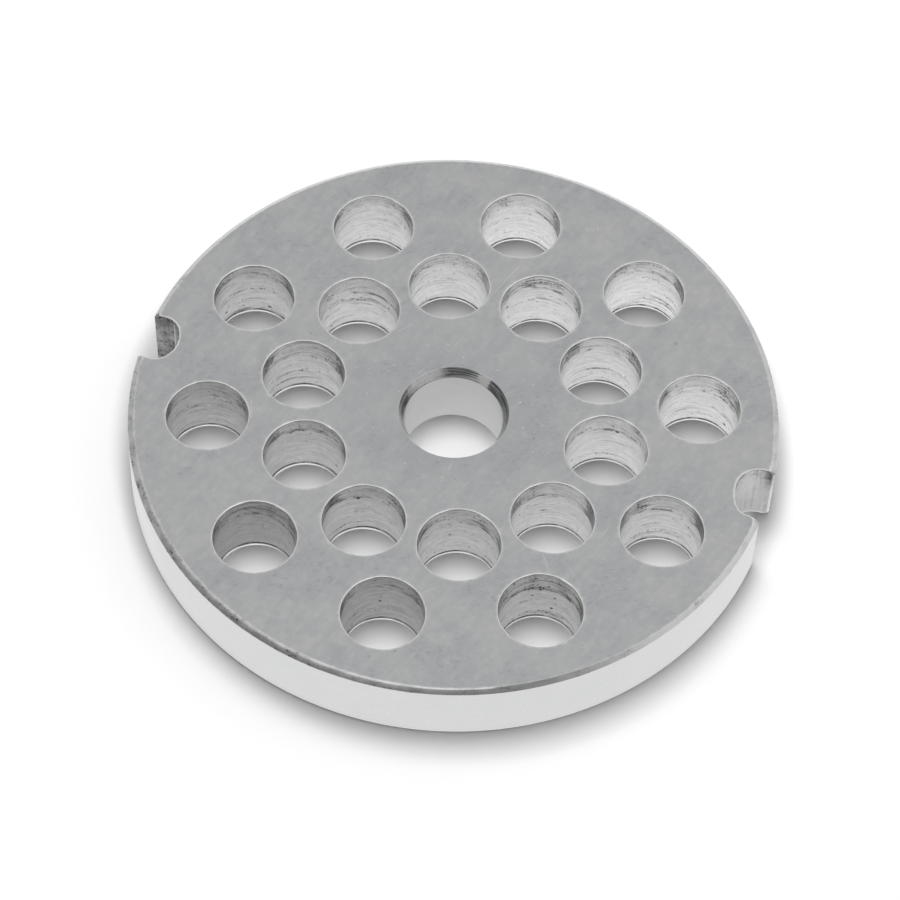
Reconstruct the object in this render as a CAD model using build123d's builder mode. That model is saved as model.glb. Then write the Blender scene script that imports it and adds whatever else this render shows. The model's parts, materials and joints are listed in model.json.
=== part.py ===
"""Plate of a household meat grinder: one disc of steel, turned, drilled and milled.

The plate closes the mouth of the grinder. Meat is pushed through its two staggered rings of
holes while a knife turns against the upper face. The bore in the middle is the bearing for the
pin of the feed screw, and the two notches in the rim sit on keys in the housing, which keep the
plate from turning.

The origin is in the middle of the lower face, Z is the axis of the plate, and the notches lie
on X, in line with holes of the inner ring.
"""

import os

from build123d import *

os.makedirs("parts", exist_ok=True)

# ---- driving dimensions, in millimetres and degrees ----

# disc
plate_diameter = 62.0
plate_thickness = 7.2
rim_chamfer_width = 0.5          # across each face
rim_chamfer_height = 0.35        # down the rim

# bearing for the pin of the feed screw
bore_diameter = 9.4
countersink_width = 0.55         # of the cone round the upper mouth of the bore
countersink_angle = 60.0         # between opposite sides of the cone

# food holes
hole_diameter = 7.75
hole_edge_break = 0.15           # 45 degree break round the upper mouth of each hole
ring_count = 2
holes_per_ring = 10
hub_width = 6.425                # solid metal between the bore and the inner ring of holes
ring_pitch = 8.45                # from the middle of one ring of holes to that of the next

# notches for the keys of the housing
notch_count = 2
notch_width = 5.0                # the bottom is round, with half of this as its radius
notch_depth = 3.3                # from the rim to the bottom

# ---- sizes that follow from them ----

plate_radius = plate_diameter / 2
bore_radius = bore_diameter / 2
hole_radius = hole_diameter / 2
notch_radius = notch_width / 2

inner_ring_radius = bore_radius + hub_width + hole_radius
notch_centre_radius = plate_radius - notch_depth + notch_radius
hole_spacing_angle = 360 / holes_per_ring
right_angle = 90.0

lower_face = Plane.XY
upper_face = Plane.XY.offset(plate_thickness)


with BuildPart() as grinder_plate:
    # The blank is turned: half of its section, with the chamfers of the rim, goes round Z.
    with BuildSketch(Plane.XZ) as blank_section:
        with BuildLine():
            face_edge = plate_radius - rim_chamfer_width
            rim_bottom = rim_chamfer_height
            rim_top = plate_thickness - rim_chamfer_height
            Polyline(
                (0, 0),
                (face_edge, 0),
                (plate_radius, rim_bottom),
                (plate_radius, rim_top),
                (face_edge, plate_thickness),
                (0, plate_thickness),
                close=True,
            )
        make_face()
    revolve(axis=Axis.Z)

    # The bore is reamed, and a centre drill has opened its upper mouth to a cone.
    with Locations(upper_face):
        CounterSinkHole(
            radius=bore_radius,
            counter_sink_radius=bore_radius + countersink_width,
            counter_sink_angle=countersink_angle,
        )

    # The food holes are drilled ring by ring. Each ring is turned by half a hole against the
    # one inside it, so that an outer hole fills the gap between two inner ones.
    for ring in range(ring_count):
        ring_radius = inner_ring_radius + ring * ring_pitch
        first_hole_angle = ring * hole_spacing_angle / 2
        with Locations(upper_face):
            with PolarLocations(ring_radius, holes_per_ring, start_angle=first_hole_angle):
                CounterSinkHole(
                    radius=hole_radius,
                    counter_sink_radius=hole_radius + hole_edge_break,
                    counter_sink_angle=right_angle,
                )

    # The notches are milled through the finished rim, so their own edges stay sharp.
    with BuildSketch(lower_face) as notch_outlines:
        with PolarLocations(notch_centre_radius, notch_count):
            Circle(notch_radius)
            Rectangle(notch_depth, notch_width, align=(Align.MIN, Align.CENTER))
    extrude(amount=plate_thickness, mode=Mode.SUBTRACT)

grinder_plate.part.label = "grinder_plate"
export_step(grinder_plate.part, "parts/grinder_plate.step")
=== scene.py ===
"""Looks of a meat grinder plate: a ground steel disc with drilled food holes, a bore and keyways."""

import json
import math

import bmesh
import bpy
import numpy as np
from mathutils import Matrix, Vector
from mathutils.geometry import delaunay_2d_cdt


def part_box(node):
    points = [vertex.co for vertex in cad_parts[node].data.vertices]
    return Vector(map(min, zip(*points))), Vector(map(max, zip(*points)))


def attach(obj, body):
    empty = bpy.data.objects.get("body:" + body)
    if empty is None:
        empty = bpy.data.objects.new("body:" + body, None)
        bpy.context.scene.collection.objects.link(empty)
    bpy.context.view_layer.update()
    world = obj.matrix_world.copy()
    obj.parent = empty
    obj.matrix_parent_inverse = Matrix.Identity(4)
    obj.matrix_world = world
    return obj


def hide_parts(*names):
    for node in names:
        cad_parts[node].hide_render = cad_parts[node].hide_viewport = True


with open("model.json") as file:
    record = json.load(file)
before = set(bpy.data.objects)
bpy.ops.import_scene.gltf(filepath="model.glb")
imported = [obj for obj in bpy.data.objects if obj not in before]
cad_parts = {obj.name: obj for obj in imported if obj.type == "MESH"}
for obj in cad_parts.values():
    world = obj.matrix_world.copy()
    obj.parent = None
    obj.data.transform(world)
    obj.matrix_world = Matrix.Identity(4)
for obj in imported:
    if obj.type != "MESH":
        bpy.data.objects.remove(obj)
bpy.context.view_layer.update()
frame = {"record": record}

mm = 0.001
mounts = {mount["name"]: mount for mount in frame["record"]["mounts"]}
openings = frame["record"]["physics"]["openings"]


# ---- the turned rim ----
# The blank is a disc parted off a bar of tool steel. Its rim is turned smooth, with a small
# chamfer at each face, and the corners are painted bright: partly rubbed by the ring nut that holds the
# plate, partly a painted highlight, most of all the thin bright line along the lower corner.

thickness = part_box("grinder_plate")[1].z / mm
rim_radius = mounts["rim"]["dims"]["r_mm"]
chamfer_height = (thickness - mounts["rim"]["dims"]["length_mm"]) / 2
chamfer_width = 0.5
corner_round = 0.04
rim_arc_points = 170
rim_straight_rows = 6
chamfer_last_row = 0.8                # how far up the upper chamfer its last row lies
chamfer_residue = 0.13
dark_chamfer_side = math.radians(236)      # where the upper chamfer is widest and is painted darkest, as painted shade
heavier_chamfer = 0.0065              # how much wider, as a share of the radius
# painted shade on the upper chamfer towards that side, where it mirrors the dark room
chamfer_painted_shade = 0.19
face_inset = 0.2                      # a row this far inside each face keeps the rubbing and painted highlight at its edge
rim_colour_low = (0.66, 0.665, 0.67, 1)
rim_colour_high = (0.73, 0.73, 0.725, 1)
rim_roughness = 0.24
rim_cloud_roughness = 0.1
rim_relief = 0.001
rim_share_of_lines = 0.35
rim_residue_relief = 0.4              # the relief that its residue sits in, and how far that swings
rim_residue_swing = 0.2
# the bright of rubbed edges, also used for painted highlights
worn_and_highlit_colour = (0.93, 0.93, 0.92, 1)
# the dark of residue, also used for painted shade
residue_and_shade_colour = (0.045, 0.044, 0.042, 1)

places = []        # points of the plate, in millimetres
corners = []       # quads and triangles, as numbers of those points
finishes = []      # the finish of each of them, as a number in steels
mark_places = []   # where each point reads its tool marks
wears_and_highlights = []         # how bright it is painted: rubbed by use, and painted highlights
residues_and_shades = []      # how much dark residue a tool has left in it, and painted shade
steels = []        # the materials of the finishes


def add_rows(rows, finish, marks=None, wear_and_highlight=0.0, residue=0.0):
    """Adds closed rows of points with quads between them, and gives the numbers of the points."""
    count, around, _ = rows.shape
    first = sum(len(block) for block in places)
    numbers = first + np.arange(count * around).reshape(count, around)
    places.append(rows.reshape(-1, 3))
    mark_places.append(np.broadcast_to(rows if marks is None else marks, rows.shape).reshape(-1, 3))
    wears_and_highlights.append(np.broadcast_to(wear_and_highlight, (count, around)).reshape(-1))
    residues_and_shades.append(np.broadcast_to(residue, (count, around)).reshape(-1))
    after = np.roll(numbers, -1, axis=1)
    quads = np.stack([numbers[:-1], after[:-1], after[1:], numbers[1:]], -1).reshape(-1, 4)
    corners.extend(quads.tolist())
    finishes.extend(np.broadcast_to(finish, (count - 1, around)).reshape(-1).tolist())
    return numbers


def add_node(tree, kind, inputs=None, **settings):
    """One shader node with its settings, and with values or links on its inputs."""
    made = tree.nodes.new(kind)
    for name, value in settings.items():
        setattr(made, name, value)
    for name, value in (inputs or {}).items():
        if isinstance(value, bpy.types.NodeSocket):
            tree.links.new(value, made.inputs[name])
        else:
            made.inputs[name].default_value = value
    return made


def new_steel(name):
    """A bare steel finish: its number on the plate, its node tree and its shader."""
    material = bpy.data.materials.new(name)
    material.use_nodes = True
    steels.append(material)
    shader = material.node_tree.nodes["Principled BSDF"]
    shader.inputs["Metallic"].default_value = 1
    return len(steels) - 1, material.node_tree, shader


def new_group(name, inputs, outputs):
    """An empty node group, with the sockets that come into it and go out of it."""
    tree = bpy.data.node_groups.new(name, "ShaderNodeTree")
    for socket, kind in inputs.items():
        tree.interface.new_socket(socket, in_out="INPUT", socket_type=kind)
    for socket in outputs:
        tree.interface.new_socket(socket, in_out="OUTPUT", socket_type="NodeSocketFloat")
    return tree, add_node(tree, "NodeGroupInput").outputs, add_node(tree, "NodeGroupOutput").inputs


def placed(tree, group, inputs):
    """What a node group puts out in this tree, with values of its own."""
    return add_node(tree, "ShaderNodeGroup", inputs, node_tree=group).outputs


def soft_ramp(tree, value, start, end):
    """A mask that goes softly from 0 where the value is start to 1 where it is end."""
    inputs = {"Value": value, "From Min": start, "From Max": end}
    return add_node(tree, "ShaderNodeMapRange", inputs, interpolation_type="SMOOTHSTEP").outputs[0]


def maths(tree, operation, first, second=0.0):
    """One sum on two numbers, or on the first alone."""
    return add_node(tree, "ShaderNodeMath", {0: first, 1: second}, operation=operation).outputs[0]


def swung(tree, base, value, by):
    """A number that lies at base where the value is 0, and so much higher where it is 1."""
    return maths(tree, "ADD", base, maths(tree, "MULTIPLY", value, by))


def between(tree, share, first, second):
    """The first number where share is 0 and the second where it is 1."""
    return add_node(tree, "ShaderNodeMix", {0: share, 2: first, 3: second}, data_type="FLOAT").outputs[0]


def scaled(tree, vector, by):
    """A place multiplied axis by axis."""
    return add_node(tree, "ShaderNodeVectorMath", {0: vector, 1: by}, operation="MULTIPLY").outputs[0]


def blended(tree, share, first, second):
    """The first colour where share is 0 and the second where it is 1."""
    return add_node(tree, "ShaderNodeMix", {0: share, 6: first, 7: second}, data_type="RGBA").outputs[2]


def laid_over(tree, colour, over, mask, strength):
    """A colour with another laid over it where the mask is, at this strength."""
    return blended(tree, maths(tree, "MULTIPLY", mask, strength), colour, over)


def dressed(tree, shader, colour, roughness, height, relief):
    """Puts a colour, a roughness and a relief of so many millimetres on the shader."""
    normal = add_node(tree, "ShaderNodeBump", {"Distance": relief * mm, "Height": height}).outputs[0]
    tree.links.new(colour, shader.inputs["Base Color"])
    tree.links.new(roughness, shader.inputs["Roughness"])
    tree.links.new(normal, shader.inputs["Normal"])


def marks_of(tree):
    """The place in millimetres that the tool marks follow."""
    return add_node(tree, "ShaderNodeAttribute", attribute_name="tool_marks").outputs["Vector"]


def residue_and_shade_of(tree):
    """How much residue a tool has left there, and how much painted shade is laid there."""
    return add_node(tree, "ShaderNodeAttribute", attribute_name="residue").outputs["Fac"]


# Fine lines left by a tool: noise drawn out along the way the tool went.
tool_lines, given, result = new_group(
    "tool_lines",
    {
        "Place": "NodeSocketVector",
        "Lines per Millimetre": "NodeSocketVector",
        "Start": "NodeSocketFloat",
        "Softness": "NodeSocketFloat",
    },
    ("Lines", "Height"),
)
drawn_out = scaled(tool_lines, given["Place"], given["Lines per Millimetre"])
grooves = add_node(
    tool_lines, "ShaderNodeTexNoise",
    {"Vector": drawn_out, "Scale": 1.0, "Detail": 2.5, "Roughness": 0.6},
).outputs["Fac"]
full = maths(tool_lines, "ADD", given["Start"], given["Softness"])
tool_lines.links.new(soft_ramp(tool_lines, grooves, given["Start"], full), result["Lines"])
tool_lines.links.new(grooves, result["Height"])

# Cloudy patches of handled bare steel, with smaller ones inside them.
times_smaller = 3.7
share_of_small = 0.4

cloudiness, given, result = new_group(
    "cloudiness", {"Place": "NodeSocketVector", "Per Millimetre": "NodeSocketFloat"}, ("Tone",),
)
small_scale = maths(cloudiness, "MULTIPLY", given["Per Millimetre"], times_smaller)
large = add_node(
    cloudiness, "ShaderNodeTexNoise",
    {"Vector": given["Place"], "Scale": given["Per Millimetre"], "Detail": 1.0},
).outputs["Fac"]
small = add_node(
    cloudiness, "ShaderNodeTexNoise",
    {"Vector": given["Place"], "Scale": small_scale, "Detail": 2.0, "Roughness": 0.6},
).outputs["Fac"]
both = between(cloudiness, share_of_small, large, small)
cloudiness.links.new(soft_ramp(cloudiness, both, start=0.3, end=0.7), result["Tone"])

# Edges painted bright: partly rubbed by the knife and by handling, partly painted highlights where
# rounded edges, burr lips and the bore's cone would catch the light. Broken up along their length.
breaking_up = 0.7

edge_wear_and_highlight, given, result = new_group("edge_wear_and_highlight", {"Place": "NodeSocketVector"}, ("Rubbed and Highlit",))
worn_and_highlit = add_node(edge_wear_and_highlight, "ShaderNodeAttribute", attribute_name="wear_and_highlight").outputs["Fac"]
broken = add_node(
    edge_wear_and_highlight, "ShaderNodeTexNoise", {"Vector": given["Place"], "Scale": 1.6, "Detail": 3.0},
).outputs["Fac"]
rubbed = swung(edge_wear_and_highlight, worn_and_highlit, broken, breaking_up)
edge_wear_and_highlight.links.new(soft_ramp(edge_wear_and_highlight, rubbed, start=0.35, end=1.25), result["Rubbed and Highlit"])

# Pits where a chip tore out, filled with dark residue: Size is a share of their spacing.
ragged_finer = 2.2      # how much finer than the pits their ragged edges are
ragged_swing = 2.6      # how far those swing, in sizes of a pit
pit_core = 0.5          # how much of a pit is fully dark

pitting, given, result = new_group(
    "pitting",
    {
        "Place": "NodeSocketVector",
        "Per Millimetre": "NodeSocketFloat",
        "Share": "NodeSocketFloat",
        "Size": "NodeSocketFloat",
    },
    ("Pits",),
)
spots = add_node(
    pitting, "ShaderNodeTexVoronoi", {"Vector": given["Place"], "Scale": given["Per Millimetre"]},
).outputs
lot = add_node(pitting, "ShaderNodeSeparateColor", {0: spots["Color"]}).outputs[0]
drawn = maths(pitting, "LESS_THAN", lot, given["Share"])
ragged_scale = maths(pitting, "MULTIPLY", given["Per Millimetre"], ragged_finer)
ragged = add_node(
    pitting, "ShaderNodeTexNoise", {"Vector": given["Place"], "Scale": ragged_scale, "Detail": 2.0},
).outputs["Fac"]
swing = maths(pitting, "MULTIPLY", given["Size"], ragged_swing)
reach = swung(pitting, spots["Distance"], maths(pitting, "SUBTRACT", ragged, 0.5), swing)
core = maths(pitting, "MULTIPLY", given["Size"], pit_core)
inside = soft_ramp(pitting, reach, given["Size"], core)
pitting.links.new(maths(pitting, "MULTIPLY", drawn, inside), result["Pits"])

# Dark residue and painted shade, held in the marks of a tool, broken up by their relief.
hollow_holds = 1.6      # how much more a hollow holds than a ridge

residue_and_shade_in_marks, given, result = new_group("residue_and_shade_in_marks", {"Relief": "NodeSocketFloat"}, ("Residue and Shade",))
left_there = residue_and_shade_of(residue_and_shade_in_marks)
hollow = maths(residue_and_shade_in_marks, "SUBTRACT", 0.5, given["Relief"])
held = swung(residue_and_shade_in_marks, left_there, hollow, hollow_holds)
shown = soft_ramp(residue_and_shade_in_marks, held, start=0.05, end=0.6)
some = soft_ramp(residue_and_shade_in_marks, left_there, start=0.0, end=0.15)
residue_and_shade_in_marks.links.new(maths(residue_and_shade_in_marks, "MULTIPLY", shown, some), result["Residue and Shade"])

turned, tree, shader = new_steel("turned_steel")
place = marks_of(tree)
feed = placed(tree, tool_lines, {
    "Place": place, "Lines per Millimetre": (0.08, 0.08, 3.5), "Start": 0.6, "Softness": 0.1,
})
tone = placed(tree, cloudiness, {"Place": place, "Per Millimetre": 0.16})["Tone"]
rubbed = placed(tree, edge_wear_and_highlight, {"Place": place})["Rubbed and Highlit"]
streaky = scaled(tree, place, (1, 1, 4))
blotches = placed(tree, cloudiness, {"Place": streaky, "Per Millimetre": 0.5})["Tone"]
relief = swung(tree, rim_residue_relief, blotches, rim_residue_swing)
caught_residue_and_shade = placed(tree, residue_and_shade_in_marks, {"Relief": relief})["Residue and Shade"]
crumbs = placed(tree, pitting, {
    "Place": place, "Per Millimetre": 3.5, "Share": 0.35, "Size": 0.5,
})["Pits"]
mixed = between(tree, rim_share_of_lines, tone, feed["Height"])
colour = blended(tree, mixed, rim_colour_low, rim_colour_high)
colour = laid_over(tree, colour, residue_and_shade_colour, caught_residue_and_shade, strength=0.5)
colour = laid_over(tree, colour, residue_and_shade_colour, crumbs, strength=caught_residue_and_shade)
colour = blended(tree, rubbed, colour, worn_and_highlit_colour)
roughness = swung(tree, rim_roughness, tone, rim_cloud_roughness)
dressed(tree, shader, colour, roughness, feed["Height"], rim_relief)


# ---- the two keyways ----
# Slots with round bottoms that hold the plate still on the pin of the grinder's body. They are
# milled straight through the rim, and the cutter has left ridges and torn spots on their walls, which
# are painted darker below the upper face as painted shade.

notch_bottom = mounts["notch_plus_x"]["pos_m"][0] / mm
notch_half_widths = ((3.1, 2.2), (2.48, 2.44))      # on the -Y and the +Y side at +X, reversed at -X
notch_bottom_radii = ((1.7, 2.35), (1.85, 1.95))
notch_corner_rounds = ((0.75, 0.2), (0.06, 0.06))
notch_break = 0.05
notch_ridges = (0.015, 0.03)                        # how high the cutter's ridges are, at +X and at -X
notch_ridge_waves = ((11, 0.3), (23, 0.5), (37, 0.35))
notch_ridge_fade = 3                                # they fade out over 1/3 rad at both ends of the arc
notch_least_round = 0.03
notch_residues = (                                  # along each keyway, and how much is there
    ((0, 0.87, 0.91, 0.95, 0.98), (0, 0, 0.4, 0.4, 0.1)),
    ((0, 0.35, 0.6, 0.9, 0.97), (0.36, 0.36, 0.45, 0.4, 0)),
)
notch_ridge_residue = (0.03, 0.2)
notch_face_shade = 0.2                            # painted shade below the upper face
notch_face_reach = 2.5
notch_face_fade = 2.0
notch_clean_foot = 0.3                              # what is left of it low in the +X keyway
notch_residue_rise = (0.25, 0.875)                  # as shares of the thickness
notch_seed = 7
notch_arc_points = 64
notch_flank_points = 3
notch_corner_points = 7
mill_colour_low = (0.53, 0.53, 0.525, 1)
mill_colour_high = (0.72, 0.725, 0.725, 1)
mill_roughness = 0.4
mill_cloud_roughness = 0.15
mill_relief = 0.03
mill_share_of_ridges = 0.25
mill_share_of_blotches = 0.35
mill_residue_relief = 0.3
mill_residue_swing = 0.4


def wavy(chance, turn, *waves):
    """A sum of waves along a turn: each is how many go round and how high they are."""
    return sum(height * np.sin(count * turn + chance.uniform(0, 2 * math.pi)) for count, height in waves)


def notch_path(level_radius, side, opened):
    """One keyway's outline as at the +X side, opened by so much, and its residue."""
    chance = np.random.default_rng(notch_seed + side)
    turn = np.linspace(-math.pi / 2, -3 * math.pi / 2, notch_arc_points)
    half_width = np.where(np.sin(turn) < 0, *notch_half_widths[side])
    bottom_radius = np.where(np.sin(turn) < 0, *notch_bottom_radii[side])
    fade = np.clip(np.minimum(turn[0] - turn, turn - turn[-1]) * notch_ridge_fade, 0, 1)
    ridges = fade * wavy(chance, turn, *notch_ridge_waves)
    grown = opened + notch_ridges[side] * ridges
    arc = np.stack([
        notch_bottom + bottom_radius + (bottom_radius + grown) * np.cos(turn),
        (half_width + grown) * np.sin(turn),
    ], -1)
    ends = []
    for width, rounded, bottom_radius, sign in zip(
        notch_half_widths[side], notch_corner_rounds[side], notch_bottom_radii[side], (-1, 1),
    ):
        width = width + opened
        rounded = max(rounded - opened, notch_least_round)
        end = math.sqrt(level_radius**2 - (width + rounded) ** 2)
        bend = np.linspace(math.pi / 2, 0, notch_corner_points)
        out = end - rounded * (1 - np.sin(bend))
        aside = sign * (width + rounded * (1 - np.cos(bend)))
        arc_start = notch_bottom + bottom_radius
        flank = np.linspace(end - rounded, arc_start, notch_flank_points + 1, endpoint=False)[1:]
        corner = np.stack([out, aside], -1)
        straight = np.stack([flank, np.full_like(flank, sign * width)], -1)
        ends.append(np.concatenate([corner, straight]))
    path = np.concatenate([ends[0], arc, ends[1][::-1]])
    dirt = np.interp(np.linspace(0, 1, len(path)), *notch_residues[side])
    dirt += notch_ridge_residue[side] * np.pad(ridges, len(ends[0]))
    return path, dirt


def blank_outline(level_radius, opened):
    """The outline of the blank at one level, keyway, rim, keyway, rim, and its residue."""
    paths = [notch_path(level_radius, side, opened) for side in (0, 1)]
    parts = []
    dirt = []
    for side, away in ((0, 1), (1, -1)):
        path, path_dirt = paths[side]
        start = math.atan2(*path[-1][::-1])
        end = math.pi + math.atan2(*paths[1 - side][0][0][::-1])
        turn = np.linspace(start, end, rim_arc_points + 2)[1:-1]
        arc = np.stack([np.cos(turn), np.sin(turn)], -1) * level_radius
        parts += [away * path, away * arc]
        dirt += [path_dirt, np.zeros(rim_arc_points)]
    return np.concatenate(parts), np.concatenate(dirt)


milled, tree, shader = new_steel("milled_steel")
place = marks_of(tree)
ridges = placed(tree, tool_lines, {
    "Place": place, "Lines per Millimetre": (4.5, 4.5, 0.3), "Start": 0.55, "Softness": 0.1,
})
torn = placed(tree, pitting, {
    "Place": place, "Per Millimetre": 2.2, "Share": 0.4, "Size": 0.5,
})["Pits"]
tone = placed(tree, cloudiness, {"Place": place, "Per Millimetre": 0.45})["Tone"]
blotches = placed(tree, cloudiness, {"Place": place, "Per Millimetre": 1.4})["Tone"]
rubbed = placed(tree, edge_wear_and_highlight, {"Place": place})["Rubbed and Highlit"]
relief = between(tree, mill_share_of_blotches, ridges["Height"], blotches)
relief = swung(tree, mill_residue_relief, relief, mill_residue_swing)
caught_residue_and_shade = placed(tree, residue_and_shade_in_marks, {"Relief": relief})["Residue and Shade"]
mixed = between(tree, mill_share_of_ridges, tone, ridges["Height"])
colour = blended(tree, mixed, mill_colour_low, mill_colour_high)
colour = laid_over(tree, colour, residue_and_shade_colour, ridges["Lines"], strength=0.15)
colour = laid_over(tree, colour, residue_and_shade_colour, caught_residue_and_shade, strength=0.8)
colour = laid_over(tree, colour, residue_and_shade_colour, torn, strength=caught_residue_and_shade)
colour = blended(tree, rubbed, colour, worn_and_highlit_colour)
roughness = swung(tree, mill_roughness, tone, mill_cloud_roughness)
dressed(tree, shader, colour, roughness, ridges["Height"], mill_relief)


# ---- the ground faces ----
# Both faces are surface-ground flat. The knife sweeps the upper one and use has clouded it,
# with fine scratches in all directions and a halo round each hole painted bright, partly rubbed, partly
# a painted highlight.

face_colour_low = (0.50, 0.515, 0.53, 1)
face_colour_high = (0.66, 0.658, 0.655, 1)
face_roughness = 0.4
face_cloud_roughness = 0.12
face_rubbed_roughness = -0.12
face_relief = 0.004
face_share_of_grain = 0.3
face_share_of_wipes = 0.2
hub_fade = (17, 8)                  # from the axis
nick_fade = (14, 9)
hub_colour = (0.50, 0.515, 0.53, 1)
scratch_colour = (0.88, 0.88, 0.87, 1)
scuff_colour = (0.36, 0.39, 0.42, 1)
wipe_angle = math.radians(-69)
scuff_angle = math.radians(-35)
fine_scratches = (                  # which way they run, and where the noise starts to show
    (wipe_angle, 0.66), (math.radians(-38), 0.67), (math.radians(25), 0.68),
)
scratch_width = 0.09
scratch_fade = 0.3                  # they thin out over this length at both ends
single_scratches = (
    ((1.4, 18.9), (-1.2, 12.2)),
    ((-7.9, 7.4), (-6.6, 8.9)),
    ((-18.9, -4.2), (-18.1, -6.3)),
    ((6.2, 25.4), (6.7, 24.6)),
    ((7.2, 25.9), (7.6, 25.1)),
    ((1.45, -5.4), (1.32, -6.62)),
    ((-20.2, 0.6), (-19.7, -0.2)),
    ((12.0, -12.4), (13.4, -14.6)),
)


def swivelled(tree, vector, angle):
    """A place turned round the plate's axis."""
    return add_node(tree, "ShaderNodeVectorRotate", {"Vector": vector, "Angle": angle}).outputs[0]


ground, tree, shader = new_steel("ground_steel")
place = scaled(tree, add_node(tree, "ShaderNodeTexCoord").outputs["Object"], (1 / mm, 1 / mm, 1 / mm))
patches = placed(tree, cloudiness, {"Place": place, "Per Millimetre": 0.17})["Tone"]
grain = placed(tree, cloudiness, {"Place": place, "Per Millimetre": 1.6})["Tone"]
rubbed = placed(tree, edge_wear_and_highlight, {"Place": place})["Rubbed and Highlit"]
wiped = placed(tree, tool_lines, {
    "Place": swivelled(tree, place, wipe_angle),
    "Lines per Millimetre": (0.3, 1.3, 1),
    "Start": 0.4,
    "Softness": 0.2,
})["Lines"]
mixed = between(tree, face_share_of_grain, patches, grain)
mixed = between(tree, face_share_of_wipes, mixed, wiped)
colour = blended(tree, mixed, face_colour_low, face_colour_high)
from_centre = add_node(tree, "ShaderNodeVectorMath", {0: place}, operation="LENGTH").outputs["Value"]
near_hub = soft_ramp(tree, from_centre, *hub_fade)
colour = laid_over(tree, colour, hub_colour, near_hub, strength=0.3)
for turned_by, start in fine_scratches:
    lines = placed(tree, tool_lines, {
        "Place": swivelled(tree, place, turned_by),
        "Lines per Millimetre": (0.25, 6, 1),
        "Start": start,
        "Softness": 0.08,
    })["Lines"]
    colour = laid_over(tree, colour, scratch_colour, lines, strength=0.3)

# One scratch: a thin straight line from its start, so long and turned so far.
one_scratch, given, result = new_group(
    "one_scratch",
    {
        "Place": "NodeSocketVector",
        "Start": "NodeSocketVector",
        "Angle": "NodeSocketFloat",
        "Length": "NodeSocketFloat",
        "Width": "NodeSocketFloat",
    },
    ("Scratch",),
)
from_start = add_node(
    one_scratch, "ShaderNodeVectorMath", {0: given["Place"], 1: given["Start"]}, operation="SUBTRACT",
).outputs[0]
straight = swivelled(one_scratch, from_start, given["Angle"])
apart = add_node(one_scratch, "ShaderNodeSeparateXYZ", {0: straight}).outputs
across = soft_ramp(one_scratch, maths(one_scratch, "ABSOLUTE", apart["Y"]), given["Width"], 0.0)
past_start = soft_ramp(one_scratch, apart["X"], 0.0, scratch_fade)
left_over = maths(one_scratch, "SUBTRACT", given["Length"], apart["X"])
before_end = soft_ramp(one_scratch, left_over, 0.0, scratch_fade)
within = maths(one_scratch, "MULTIPLY", past_start, before_end)
one_scratch.links.new(maths(one_scratch, "MULTIPLY", across, within), result["Scratch"])

for start, end in single_scratches:
    reach = Vector(end) - Vector(start)
    scratch = placed(tree, one_scratch, {
        "Place": place,
        "Start": (*start, thickness),
        "Angle": -math.atan2(reach.y, reach.x),
        "Length": reach.length,
        "Width": scratch_width,
    })["Scratch"]
    colour = laid_over(tree, colour, scratch_colour, scratch, strength=0.4)

scuffed_way = swivelled(tree, place, scuff_angle)
scuffs = placed(tree, tool_lines, {
    "Place": scuffed_way, "Lines per Millimetre": (1.7, 3.4, 1), "Start": 0.56, "Softness": 0.1,
})["Lines"]
scuffed = maths(tree, "MULTIPLY", scuffs, soft_ramp(tree, patches, start=0.5, end=0.2))
colour = laid_over(tree, colour, scuff_colour, scuffed, strength=0.35)
nicks = placed(tree, pitting, {
    "Place": scaled(tree, scuffed_way, (1, 2, 1)), "Per Millimetre": 1.1, "Share": 0.35, "Size": 0.16,
})["Pits"]
nicked = maths(tree, "MULTIPLY", nicks, soft_ramp(tree, from_centre, *nick_fade))
colour = laid_over(tree, colour, scratch_colour, nicked, strength=0.8)
specks = placed(tree, pitting, {
    "Place": place, "Per Millimetre": 0.5, "Share": 0.12, "Size": 0.08,
})["Pits"]
colour = laid_over(tree, colour, residue_and_shade_colour, specks, strength=0.2)
# rubbed edges and the halos round the holes, painted bright: partly rubbing, partly painted highlight
colour = blended(tree, rubbed, colour, worn_and_highlit_colour)
roughness = swung(tree, face_roughness, mixed, face_cloud_roughness)
roughness = swung(tree, roughness, rubbed, face_rubbed_roughness)
dressed(tree, shader, colour, roughness, grain, face_relief)

# The rim and both keyways are one strip of rows from the lower face to the upper one. Each level
# has a radius, a height, how far the keyways open there, and how rubbed the rim is, with painted
# highlight.
chamfer_foot = thickness - chamfer_height
rim_levels = [
    (rim_radius - chamfer_width - face_inset, 0.0, notch_break + face_inset, 0.0),
    (rim_radius - chamfer_width, 0.0, notch_break, 0.3),
    # the rows round the lower corner make a painted highlight line along the rim's lower edge
    (rim_radius - corner_round, chamfer_height - corner_round, 0.0, 0.5),
    (rim_radius, chamfer_height + corner_round, 0.0, 1.0),
    (rim_radius, chamfer_height + 2 * corner_round, 0.0, 1.0),
    (rim_radius, chamfer_height + 4 * corner_round, 0.0, 0.0),
    *(
        (rim_radius, height, 0.0, 0.0)
        for height in np.linspace(chamfer_height, chamfer_foot, rim_straight_rows + 2)[1:-1]
    ),
    (rim_radius, chamfer_foot - 3 * corner_round, 0.0, 0.0),
    (rim_radius, chamfer_foot - corner_round, 0.0, 0.2),
    (rim_radius - corner_round, chamfer_foot + corner_round, 0.0, 0.0),
    (
        rim_radius - chamfer_width * chamfer_last_row,
        thickness - chamfer_height * (1 - chamfer_last_row), 0.0, 0.0,
    ),
    (rim_radius - chamfer_width, thickness, notch_break, 0.4),
    (rim_radius - chamfer_width - face_inset, thickness, notch_break + face_inset, 0.0),
]
rim_rows = np.stack([
    np.pad(blank_outline(radius, opened)[0], ((0, 0), (0, 1)), constant_values=height)
    for radius, height, opened, _ in rim_levels
])
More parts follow.
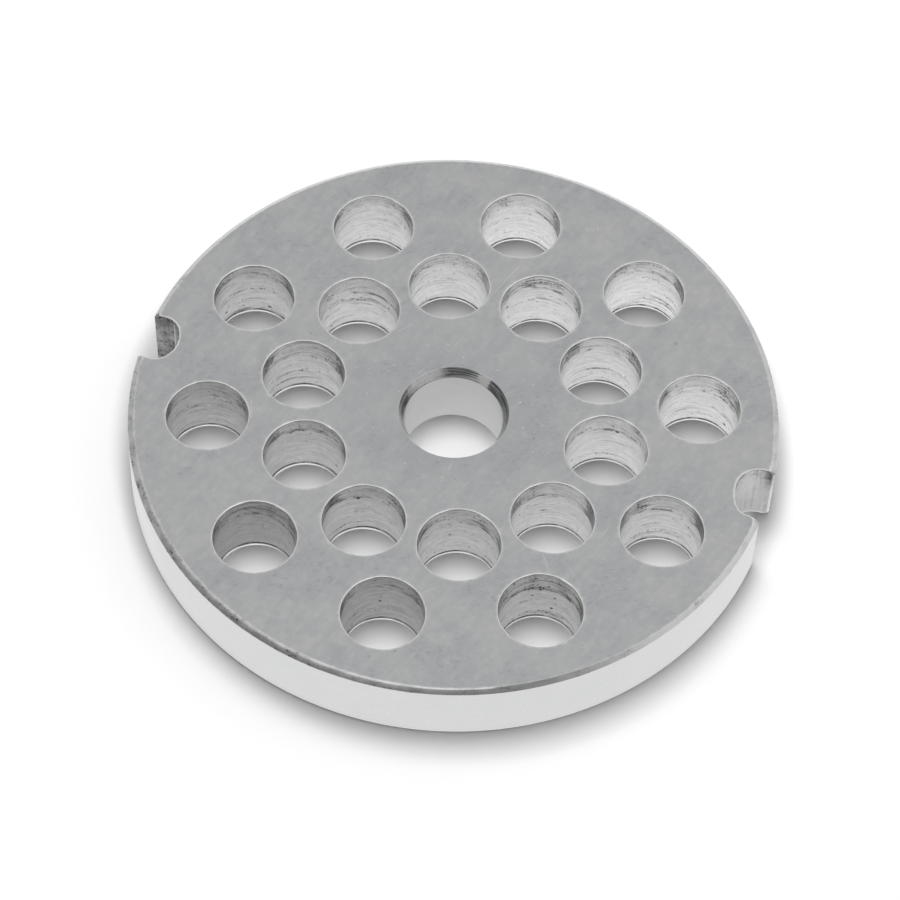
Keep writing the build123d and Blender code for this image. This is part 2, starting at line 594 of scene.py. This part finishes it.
notch_points = 2 * (notch_flank_points + notch_corner_points) + notch_arc_points
notch_place = np.arange(rim_rows.shape[1]) % (notch_points + rim_arc_points)
in_notch = notch_place < notch_points
in_cut = (notch_place >= notch_corner_points - 1) & (notch_place < notch_points - notch_corner_points)
facing = np.cos(np.arctan2(rim_rows[-1, :, 1], rim_rows[-1, :, 0]) - dark_chamfer_side)
near_dark_side = np.clip(facing, 0, 1) ** 3
rim_rows[-2:, :, :2] *= 1 - heavier_chamfer * (~in_notch * near_dark_side)[None, :, None]
rim_wear_and_highlight = np.array([[wear_and_highlight] for _, _, _, wear_and_highlight in rim_levels])
notch_wear = np.array([[float(opened == notch_break)] for _, _, opened, _ in rim_levels])
rim_heights = rim_rows[:, :1, 2]
near_face = np.clip((rim_heights - thickness + notch_face_reach) / notch_face_fade, 0, 1)
risen = np.interp(rim_heights / thickness, notch_residue_rise, (0, 1))
left_on = np.where(rim_rows[:, :, 0] > 0, np.maximum(risen, notch_clean_foot), 1)
# the keyways' residue, with painted shade added below the upper face
notch_dirt_and_shade = blank_outline(rim_radius, 0)[1] * left_on + notch_face_shade * near_face
# residue on the upper chamfer, with painted shade added towards its dark side
chamfer_dirt_and_shade = (chamfer_residue + chamfer_painted_shade * near_dark_side) * (rim_heights > chamfer_foot)
rim_finish = np.tile(np.where(in_cut, milled, turned), (len(rim_levels) - 1, 1))
rim_finish[[0, -1]] = ground
rim_numbers = add_rows(
    rim_rows, rim_finish,
    wear_and_highlight=np.where(in_notch, notch_wear, rim_wear_and_highlight), residue=np.where(in_notch, notch_dirt_and_shade, chamfer_dirt_and_shade),
)


# ---- the food holes ----
# Two staggered rings of holes, twist-drilled through the disc. Each mouth is flared a little
# off centre, the drill has left feed rings, scores and torn pits on the wall, and grinding the
# faces has left a rubbed edge above and a thin lip of burr below. The flared band, with some staining,
# the step below it and the groove above the lip are painted dark as painted shade, and the lip and
# rubbed edge are painted bright, partly as painted highlights.

wall_radius = 3.805
flare_slope = 0.06
flare_depths = (1.5, 2.4)
flare_lean = 0.25                   # leaves the flare's far side half as deep
edge_break = 0.08
edge_bends = (math.radians(30), math.radians(62))
halo_rows = ((0.34, 0.0), (0.12, 0.2), (0.02, 0.4), (0.0, 1.0))     # outside the edge, and how rubbed, with painted highlight
hole_points = 76
hole_levels = 44
wall_inset = 0.1                    # where the wall's first and last rows lie
mouth_step = 0.01                   # the first one stands this far inside the mouth
groove_height = 0.3
groove_back = 0.03
groove_shade = 0.6
groove_top_share = 0.6              # the groove's upper edge is painted less dark
lip_height = 0.15
lip_slope = 0.33
burr_width = 0.08
burr_swing = 0.035
least_burr = math.radians(50)       # on which side of the plate the burrs are smallest
torn_rings_at = (0.7, 4.6)          # below the upper face
torn_ring_relief = 0.03
torn_ring_residue = 0.7
torn_ring_fade = 0.4
fine_rings = 30
fine_ring_relief = 0.008
fine_ring_residue = 0.1
fine_ring_tilt = 0.12
flare_shade_and_stains = (0.08, 0.2)          # painted shade and some staining on the flare, on the whole
flare_shade_swing = 0.22
flare_shade_turn = 0.5
least_flare_shade = 0.05
flare_shade_fade = 0.15
ledge_shade = 0.45
ledge_width = 0.14
hole_seed = 100
hole_spacing_in_marks = 20          # keeps the tool marks of the holes apart
drill_colour_low = (0.66, 0.665, 0.665, 1)
drill_colour_high = (0.97, 0.97, 0.965, 1)
drill_roughness = 0.3
drill_streak_roughness = 0.2
drill_rubbed_roughness = -0.25
drill_relief = 0.02
drill_share_of_scores = 0.45
drill_share_of_grain = 0.3
mouth_darkening_reach = 2.5             # below the upper face
mouth_darkening_full = 0.5
mouth_darkening_strength = 0.12

drilled, tree, shader = new_steel("drilled_steel")
place = marks_of(tree)
height_above = add_node(tree, "ShaderNodeSeparateXYZ", {0: place}).outputs["Z"]
feed = placed(tree, tool_lines, {
    "Place": place, "Lines per Millimetre": (0.4, 0.4, 5), "Start": 0.62, "Softness": 0.08,
})
scores = placed(tree, tool_lines, {
    "Place": place, "Lines per Millimetre": (0.22, 0.22, 2.8), "Start": 0.6, "Softness": 0.04,
})
pits = placed(tree, pitting, {
    "Place": scaled(tree, place, (1, 1, 1.4)), "Per Millimetre": 0.55, "Share": 0.35, "Size": 0.1,
})["Pits"]
speckles = placed(tree, pitting, {
    "Place": scaled(tree, place, (1, 1, 1.8)), "Per Millimetre": 1.7, "Share": 0.2, "Size": 0.22,
})["Pits"]
crumbs = placed(tree, pitting, {
    "Place": scaled(tree, place, (1, 1, 1.6)), "Per Millimetre": 3.0, "Share": 0.45, "Size": 0.5,
})["Pits"]
tone = placed(tree, cloudiness, {"Place": place, "Per Millimetre": 0.3})["Tone"]
grain = placed(tree, cloudiness, {"Place": place, "Per Millimetre": 1.8})["Tone"]
rubbed = placed(tree, edge_wear_and_highlight, {"Place": place})["Rubbed and Highlit"]
streaks = between(tree, drill_share_of_scores, feed["Height"], scores["Height"])
uneven = between(tree, drill_share_of_grain, soft_ramp(tree, streaks, start=0.35, end=0.65), grain)
caught_residue_and_shade = placed(tree, residue_and_shade_in_marks, {"Relief": streaks})["Residue and Shade"]
colour = blended(tree, uneven, drill_colour_low, drill_colour_high)
# the wall is darker towards the mouth, in cloudy patches
near_mouth = soft_ramp(
    tree, height_above, thickness - mouth_darkening_reach, thickness - mouth_darkening_full,
)
darkened_near_mouth = maths(tree, "MULTIPLY", tone, mouth_darkening_strength)
colour = laid_over(tree, colour, residue_and_shade_colour, near_mouth, strength=darkened_near_mouth)
soiled_and_shaded = residue_and_shade_of(tree)
marked = soft_ramp(tree, soiled_and_shaded, start=-0.25, end=0.3)
scored = maths(tree, "MULTIPLY", scores["Lines"], marked)
fed = maths(tree, "MULTIPLY", feed["Lines"], marked)
crumbled = soft_ramp(tree, soiled_and_shaded, start=0.0, end=0.3)
for mask, strength in (
    (scored, 0.5),
    (fed, 0.5),
    (caught_residue_and_shade, 0.75),
    (crumbs, crumbled),
    (pits, 1.0),
    (speckles, 0.5),
):
    colour = laid_over(tree, colour, residue_and_shade_colour, mask, strength)
# burr lips and the rubbed mouth, painted bright: partly rubbing, partly painted highlight
colour = blended(tree, rubbed, colour, worn_and_highlit_colour)
roughness = swung(tree, drill_roughness, streaks, drill_streak_roughness)
roughness = swung(tree, roughness, rubbed, drill_rubbed_roughness)
dressed(tree, shader, colour, roughness, streaks, drill_relief)


def bell(away):
    """1 in the middle of a mark, and falling to nothing beside it."""
    return np.exp(-(away**2))


def drill_marks(chance, turn, depth):
    """How far one hole's wall stands back from its radius, in millimetres, and its residue."""
    back = np.zeros_like(turn + depth)
    dirt = np.zeros_like(back)
    for _ in range(chance.integers(1, 4)):
        at = chance.uniform(*torn_rings_at)
        tilt = chance.uniform(-0.2, 0.2)
        swing = chance.uniform(0, 2 * math.pi)
        middle = chance.uniform(0.5, 3.2)
        reach = chance.uniform(0.4, 1.6)
        width = chance.uniform(0.07, 0.11)
        deep = chance.uniform(0.2, 0.7)
        away = np.abs((turn - middle + math.pi) % (2 * math.pi) - math.pi)
        broken = np.clip(0.5 + wavy(chance, turn, (5, 0.3), (13, 0.4), (21, 0.3)), 0, 1)
        fade = np.clip((reach - away) / torn_ring_fade, 0, 1) * broken
        ring = deep * fade * bell((depth - at - tilt * np.sin(turn - swing)) / width)
        back += torn_ring_relief * ring
        dirt += torn_ring_residue * ring
    for _ in range(fine_rings):
        at = chance.uniform(0.2, 7.0)
        swing = chance.uniform(0, 2 * math.pi)
        width = chance.uniform(0.1, 0.25)
        deep = chance.normal(0, 1)
        fade = 0.5 + wavy(chance, turn, (chance.integers(1, 4), 0.5))
        ring = deep * fade * bell((depth - at - fine_ring_tilt * np.sin(turn - swing)) / width)
        back += fine_ring_relief * ring
        dirt += fine_ring_residue * np.maximum(ring, 0)
    return back, dirt


hole_numbers = []
for number, opening in enumerate(o for o in openings if o["name"].startswith("food_hole")):
    chance = np.random.default_rng(hole_seed + number)
    centre = np.mean(opening["box_m"], axis=0)[:2] / mm
    turn = np.linspace(0, 2 * math.pi, hole_points, endpoint=False)[None, :]
    flare_side = chance.uniform(0.3, 1.6)
    lean = 1 - flare_lean + flare_lean * np.cos(turn - flare_side)
    flare_depth = chance.uniform(*flare_depths) * lean
    flare_depth = flare_depth + wavy(chance, turn, (3, 0.08), (7, 0.05), (12, 0.04))
    mouth = wall_radius + flare_slope * flare_depth
    rubbed = edge_break * (1.05 + wavy(chance, turn, (2, 0.15), (5, 0.1), (11, 0.06)))
    none = np.zeros_like(turn)

    # Each row is its radius, its height, how rubbed it is, with painted highlight, and its residue, with
    # painted shade.
    rows = []
    for out, wear_and_highlight in halo_rows:
        rows.append((mouth + rubbed + out, none + thickness, none + wear_and_highlight, none))
    for bend in edge_bends:
        edge_height = thickness - rubbed * (1 - math.cos(bend))
        rows.append((mouth + rubbed * (1 - math.sin(bend)), edge_height, none + 1, none))
    depth = np.linspace(wall_inset, thickness - groove_height - wall_inset, hole_levels)[:, None]
    back, dirt = drill_marks(chance, turn, depth)
    wall = wall_radius + flare_slope * np.maximum(flare_depth - depth, 0) + back
    wall[0] = mouth[0] - mouth_step
    # the flared band below the mouth is painted dark, most on two opposite sides: painted shade with
    # some staining, and a line of painted shade along the step below it
    flare_shade_and_stain = chance.uniform(*flare_shade_and_stains)
    flare_shade_and_stain = flare_shade_and_stain + flare_shade_swing * np.cos(2 * turn - flare_shade_turn)
    flare_shade_and_stain = flare_shade_and_stain + wavy(chance, turn, (3, 0.12), (8, 0.1))
    on_flare = np.clip((flare_depth - depth) / flare_shade_fade, 0, 1)
    dirt += np.maximum(flare_shade_and_stain, least_flare_shade) * on_flare
    ledge = np.clip(0.3 + wavy(chance, turn, (2, 0.4), (9, 0.3), (17, 0.3)), 0, 1)
    dirt += ledge_shade * ledge * bell((flare_depth - depth) / ledge_width)
    for level_radius, level_depth, level_dirt in zip(wall, depth, dirt):
        rows.append((level_radius[None, :], none + thickness - level_depth, none, level_dirt[None, :]))
    burr = burr_width - burr_swing * math.cos(math.atan2(*centre[::-1]) - least_burr)
    burr = burr + wavy(chance, turn, (1, 0.012), (3, 0.012), (8, 0.008))
    groove_shade_amount = groove_shade + wavy(chance, turn, (2, 0.3), (5, 0.3), (9, 0.35), (17, 0.3))
    # a groove painted dark above the burr lip as painted shade, and the lip painted bright as a painted
    # highlight
    rows += [
        (none + wall_radius + groove_back, none + groove_height, none, groove_top_share * groove_shade_amount),
        (none + wall_radius + groove_back, none + lip_height + groove_back, none, groove_shade_amount),
        (none + wall_radius, none + lip_height, none + 1, none),
        (wall_radius - burr, lip_height - lip_slope * burr, none + 1, none),
        (wall_radius - burr, none, none + 1, none),
        (none + wall_radius + face_inset / 2, none, none, none),
    ]
    radius, height, wear_and_highlight, dirt = (np.concatenate(part) for part in zip(*rows))
    across = np.stack([radius * np.cos(turn), radius * np.sin(turn), height], -1)
    marks = across + np.array([hole_spacing_in_marks * number, 0, 0])
    strip_finish = np.full(len(rows) - 1, drilled)
    strip_finish[:len(halo_rows) - 1] = ground
    strip_finish[-1] = ground
    shifted = across + np.array([*centre, 0])
    hole_numbers.append(
        add_rows(shifted[::-1], strip_finish[::-1, None], marks[::-1], wear_and_highlight[::-1], dirt[::-1])
    )


# ---- the bore ----
# The bearing of the feed screw's pin, reamed smooth, with a cone cut round its upper mouth by a
# centre drill, which has left fine rings. Two patches of the cone are painted bright as painted
# highlights.

bore_radius = mounts["screw_pin_bore"]["dims"]["r_mm"]
cone_depth = thickness - mounts["screw_pin_bore"]["dims"]["length_mm"]
cone_width = 0.55
cone_ripple = 0.003
cone_edge = 0.06
cone_highlights_at = ((70.0, 6.5, 1.0), (142.0, 32.0, 0.7))    # painted highlights: in degrees, half as wide, how far they brighten it
bore_levels = 12
bore_points = 144
ream_colour_low = (0.64, 0.645, 0.645, 1)
ream_colour_high = (0.80, 0.80, 0.795, 1)
ream_roughness = 0.32
ream_cloud_roughness = 0.1
ream_relief = 0.004
ream_share_of_rings = 0.5
cone_colour_low = (0.20, 0.205, 0.21, 1)
cone_colour_high = (0.82, 0.825, 0.83, 1)
cone_roughness = 0.12
cone_rubbed_roughness = 0.4
cone_relief = 0.004

reamed, tree, shader = new_steel("reamed_steel")
place = marks_of(tree)
rings = placed(tree, tool_lines, {
    "Place": place, "Lines per Millimetre": (0.2, 0.2, 3.5), "Start": 0.62, "Softness": 0.1,
})
tone = placed(tree, cloudiness, {"Place": place, "Per Millimetre": 0.25})["Tone"]
mixed = between(tree, ream_share_of_rings, tone, rings["Height"])
colour = blended(tree, mixed, ream_colour_low, ream_colour_high)
roughness = swung(tree, ream_roughness, tone, ream_cloud_roughness)
dressed(tree, shader, colour, roughness, rings["Height"], ream_relief)

countersunk, tree, shader = new_steel("countersunk_steel")
place = marks_of(tree)
rings = placed(tree, tool_lines, {
    "Place": place, "Lines per Millimetre": (0.3, 0.3, 10), "Start": 0.6, "Softness": 0.1,
})
# on the cone this carries the two painted highlights
rubbed = placed(tree, edge_wear_and_highlight, {"Place": place})["Rubbed and Highlit"]
mixed = soft_ramp(tree, rings["Height"], start=0.4, end=0.6)
colour = blended(tree, mixed, cone_colour_low, cone_colour_high)
colour = blended(tree, rubbed, colour, worn_and_highlit_colour)
roughness = swung(tree, cone_roughness, rubbed, cone_rubbed_roughness)
dressed(tree, shader, colour, roughness, rings["Height"], cone_relief)

bore_profile = [(bore_radius, height) for height in np.linspace(0, thickness - cone_depth, bore_levels)]
cone_share = np.linspace(1, 0, bore_levels)
bore_profile += [
    (bore_radius + cone_width * (1 - share) + cone_ripple * (-1) ** step, thickness - cone_depth * share)
    for step, share in enumerate(cone_share[1:-1])
]
cone_radius = bore_radius + cone_width
bore_profile += [(cone_radius, thickness), (cone_radius + cone_edge, thickness)]
turn = np.linspace(0, 2 * math.pi, bore_points, endpoint=False)[None, :]
radius, height = np.array(bore_profile).T[:, :, None]
bore_rows = np.stack([radius * np.cos(turn), radius * np.sin(turn), height + 0 * turn], -1)
bore_finish = np.where(np.arange(len(bore_profile) - 1) < bore_levels - 1, reamed, countersunk)
bore_finish[-1] = ground
cone_highlight = 0
# two bright patches on the cone, painted highlights
for middle, half, share in cone_highlights_at:
    away = np.abs((np.degrees(turn) - middle + 180) % 360 - 180) / half
    cone_highlight = cone_highlight + share * np.exp(-away**3)
on_cone = (radius > bore_radius) & (radius <= cone_radius)
bore_numbers = add_rows(bore_rows, bore_finish[:, None], wear_and_highlight=on_cone * cone_highlight)


# ---- the finished plate ----
# Each face is one flat surface that joins the rim, the bore and the holes. The plate is a single
# piece of steel, so all of it is one closed mesh with a finish for every face.

sharp_edges = math.radians(28)
one_point = 1e-6          # points closer than this, in millimetres, are one
inside_only = 1           # the triangulation leaves out what lies outside the rim

all_places = np.concatenate(places)
for which in (0, -1):
    loops = [rim_numbers[which], bore_numbers[which], *(numbers[which] for numbers in hole_numbers)]
    order = np.concatenate(loops)
    loop_of = np.repeat(np.arange(len(loops)), [len(loop) for loop in loops])
    first_in_loop = np.searchsorted(loop_of, loop_of)
    size_of_loop = np.bincount(loop_of)[loop_of]
    here = np.arange(len(order))
    after = first_in_loop + (here - first_in_loop + 1) % size_of_loop
    flat = [Vector(place) for place in all_places[order, :2].tolist()]
    edges = np.stack([here, after], -1).tolist()
    _, _, triangles, came_from, _, _ = delaunay_2d_cdt(flat, edges, [], inside_only, one_point)
    came_from = np.array([sources[0] for sources in came_from])
    triangles = came_from[np.array(triangles)]
    loops_met = loop_of[triangles]
    over_a_hole = (loops_met.min(axis=1) == loops_met.max(axis=1)) & (loops_met[:, 0] > 0)
    corners.extend(order[triangles[~over_a_hole]].tolist())
    finishes.extend([ground] * int((~over_a_hole).sum()))

mesh = bpy.data.meshes.new("plate")
mesh.from_pydata((all_places * mm).tolist(), [], corners)
shell = bmesh.new()
shell.from_mesh(mesh)
bmesh.ops.recalc_face_normals(shell, faces=shell.faces)
shell.to_mesh(mesh)
shell.free()
followed = mesh.attributes.new("tool_marks", "FLOAT_VECTOR", "POINT")
followed.data.foreach_set("vector", np.concatenate(mark_places).astype(np.float32).ravel())
for name, values in (("wear_and_highlight", wears_and_highlights), ("residue", residues_and_shades)):
    kept = mesh.attributes.new(name, "FLOAT", "POINT")
    kept.data.foreach_set("value", np.concatenate(values).astype(np.float32))
for steel in steels:
    mesh.materials.append(steel)
mesh.polygons.foreach_set("material_index", finishes)
mesh.polygons.foreach_set("use_smooth", [True] * len(mesh.polygons))
mesh.set_sharp_from_angle(angle=sharp_edges)
plate = bpy.data.objects.new("plate", mesh)
bpy.context.collection.objects.link(plate)
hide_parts("grinder_plate")
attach(plate, "root")


# ---- the table ----
# A sheet of white paper, a hair below the plate, and clear when it is seen from below. The steel
# mirrors it, dimmer where the plate itself keeps the light off, and most so towards the dark side
# of the room.

camera_turn = math.radians(14.31)
paper_white = (0.95, 0.95, 0.95, 1)
paper_half_width = 0.6
paper_height = -0.02 * mm
paper_sides = ((-1, -1), (1, -1), (1, 1), (-1, 1))
back_way = (-math.sin(camera_turn), math.cos(camera_turn), 0)
full_white = (1, 1, 1, 1)


def along_way(tree, place, way):
    """How far a place lies along a direction."""
    made = add_node(tree, "ShaderNodeVectorMath", {0: place, 1: way}, operation="DOT_PRODUCT")
    return made.outputs["Value"]


table_mesh = bpy.data.meshes.new("table")
table_corners = [(x * paper_half_width, y * paper_half_width, paper_height) for x, y in paper_sides]
table_mesh.from_pydata(table_corners, [], [(0, 1, 2, 3)])
table = bpy.data.objects.new("table", table_mesh)
bpy.context.collection.objects.link(table)
paper = bpy.data.materials.new("paper")
paper.use_nodes = True
tree = paper.node_tree
tree.nodes.clear()
place = add_node(tree, "ShaderNodeTexCoord").outputs["Object"]
from_axis = add_node(tree, "ShaderNodeVectorMath", {0: place}, operation="LENGTH").outputs["Value"]

# How bright the steel sees the paper: from dim to bright across the plate, a little brighter round
# the bore, and full white beside the plate.
paper_dimmest = 0.26
paper_brightest = 1.0
dim_to_bright = math.radians(64)
beside_plate = ((rim_radius - 0.6) * mm, (rim_radius + 0.5) * mm)
round_bore = (21 * mm, 13 * mm)
round_bore_share = 0.12

brighter_way = (math.cos(dim_to_bright), math.sin(dim_to_bright), 0)
under = add_node(tree, "ShaderNodeMapRange", {
    "Value": along_way(tree, place, brighter_way),
    "From Min": -rim_radius * mm,
    "From Max": rim_radius * mm,
    "To Min": paper_dimmest,
    "To Max": paper_brightest,
}).outputs[0]
midway = maths(tree, "MULTIPLY", soft_ramp(tree, from_axis, *round_bore), round_bore_share)
under = between(tree, midway, under, 1.0)
level = between(tree, soft_ramp(tree, from_axis, *beside_plate), under, 1.0)

# Its own colour is painted with shade: a painted shade below the holes, more so to the back, and a
# painted shadow close round the rim.
paper_shade_under_holes = (0.78, 0.78, 0.78, 1)
paper_shaded = (0.60, 0.60, 0.60, 1)
holes_inside = (7 * mm, 9 * mm)
holes_outside = (29 * mm, 27 * mm)
hole_shade_backwards = (-20 * mm, 12 * mm)
shade_to_back = 2 * mm
shade_fade = ((rim_radius + 2.6) * mm, rim_radius * mm)
shade_inside = (29 * mm, 30 * mm)

under_holes = maths(
    tree, "MULTIPLY",
    soft_ramp(tree, from_axis, *holes_inside), soft_ramp(tree, from_axis, *holes_outside),
)
backwards = soft_ramp(tree, along_way(tree, place, back_way), *hole_shade_backwards)
paper_colour = laid_over(tree, paper_white, paper_shade_under_holes, under_holes, strength=backwards)
shade_middle = [shade_to_back * part for part in back_way]
from_shade = add_node(
    tree, "ShaderNodeVectorMath", {0: place, 1: shade_middle}, operation="DISTANCE",
).outputs["Value"]
shaded = soft_ramp(tree, from_shade, *shade_fade)
outside = soft_ramp(tree, from_axis, *shade_inside)
paper_colour = laid_over(tree, paper_colour, paper_shaded, shaded, strength=outside)

# Glossy rays from the plate see the level, all others the paper, and from below it is clear.
path = add_node(tree, "ShaderNodeLightPath").outputs
direct = maths(tree, "LESS_THAN", path["Diffuse Depth"], 0.5)
in_steel = maths(tree, "MULTIPLY", path["Is Glossy Ray"], direct)
matt = add_node(tree, "ShaderNodeBsdfDiffuse", {"Color": paper_colour})
mirrored = add_node(tree, "ShaderNodeEmission", {"Color": full_white, "Strength": level})
lit = add_node(tree, "ShaderNodeMixShader", {0: in_steel, 1: matt.outputs[0], 2: mirrored.outputs[0]})
from_below = add_node(tree, "ShaderNodeNewGeometry").outputs["Backfacing"]
clear = add_node(tree, "ShaderNodeBsdfTransparent")
shown = add_node(tree, "ShaderNodeMixShader", {0: from_below, 1: lit.outputs[0], 2: clear.outputs[0]})
add_node(tree, "ShaderNodeOutputMaterial", {"Surface": shown.outputs[0]})
table_mesh.materials.append(paper)


# ---- light and camera ----
# Pale walls at the back and the right, a dark room behind the camera, and one large lamp over
# the table. The lamp lights the paper and is kept out of the steel's reflections.

room_level = 0.62
room_patches = (      # azimuth, elevation, half its width with the soft edge and without, its level
    (95, 25, 55, 15, 0.8),
    (-8, 45, 55, 20, 0.25),
    (0, 0, 50, 15, 0.15),
    (-60, 35, 45, 10, 0.3),
    (50, 9, 30, 18, 0.75),
    (-54, 7, 16, 8, 1.0),
    (0, 90, 28, 12, 1.0),
)
lamp_distance = 2.5
lamp_size = 1.15
lamp_energy = 36.0
lamp_place = (196, 75)                  # azimuth and elevation
camera_elevation = math.radians(55.747)
camera_roll = math.radians(2.319)
camera_distance = 343.64 * mm
aim_right = -0.371 * mm
aim_up = -3.603 * mm
film_width = 36
lens_length = 144.48


def heading(azimuth, elevation):
    """Unit vector towards a place in the room, azimuth 0 being the camera's side and 90 its right."""
    azimuth, elevation = math.radians(azimuth) + camera_turn, math.radians(elevation)
    return Vector((
        math.sin(azimuth) * math.cos(elevation),
        -math.cos(azimuth) * math.cos(elevation),
        math.sin(elevation),
    ))


world = bpy.data.worlds.new("studio")
bpy.context.scene.world = world
world.use_nodes = True
tree = world.node_tree
tree.nodes.clear()
towards = add_node(tree, "ShaderNodeTexCoord").outputs["Generated"]
room = room_level
for azimuth, elevation, outer, inner, level in room_patches:
    nearness = along_way(tree, towards, heading(azimuth, elevation))
    share = soft_ramp(tree, nearness, math.cos(math.radians(outer)), math.cos(math.radians(inner)))
    room = between(tree, share, room, level)
path = add_node(tree, "ShaderNodeLightPath").outputs
walls = add_node(tree, "ShaderNodeBackground", {"Color": full_white, "Strength": room})
white = add_node(tree, "ShaderNodeBackground", {"Color": full_white, "Strength": 1.0})
shown = add_node(tree, "ShaderNodeMixShader", {
    0: path["Is Camera Ray"], 1: walls.outputs[0], 2: white.outputs[0],
})
add_node(tree, "ShaderNodeOutputWorld", {"Surface": shown.outputs[0]})

lamp = bpy.data.lights.new("overhead", "AREA")
lamp.size = lamp_size
lamp.energy = lamp_energy
overhead = bpy.data.objects.new("overhead", lamp)
bpy.context.collection.objects.link(overhead)
lamp_heading = heading(*lamp_place)
overhead.location = lamp_heading * lamp_distance
overhead.rotation_euler = lamp_heading.to_track_quat("Z", "Y").to_euler()
overhead.visible_glossy = False

lens = bpy.data.cameras.new("camera")
lens.sensor_width = film_width
lens.lens = lens_length
camera = bpy.data.objects.new("camera", lens)
bpy.context.collection.objects.link(camera)
tilted = Matrix.Rotation(camera_turn, 3, "Z") @ Matrix.Rotation(math.pi / 2 - camera_elevation, 3, "X")
held = tilted @ Matrix.Rotation(camera_roll, 3, "Z")
aim = Vector((0, 0, thickness * mm)) + held @ Vector((aim_right, aim_up, 0))
camera.location = aim + held @ Vector((0, 0, camera_distance))
camera.rotation_euler = held.to_euler()
bpy.context.scene.camera = camera
bpy.context.scene.view_settings.view_transform = "Standard"
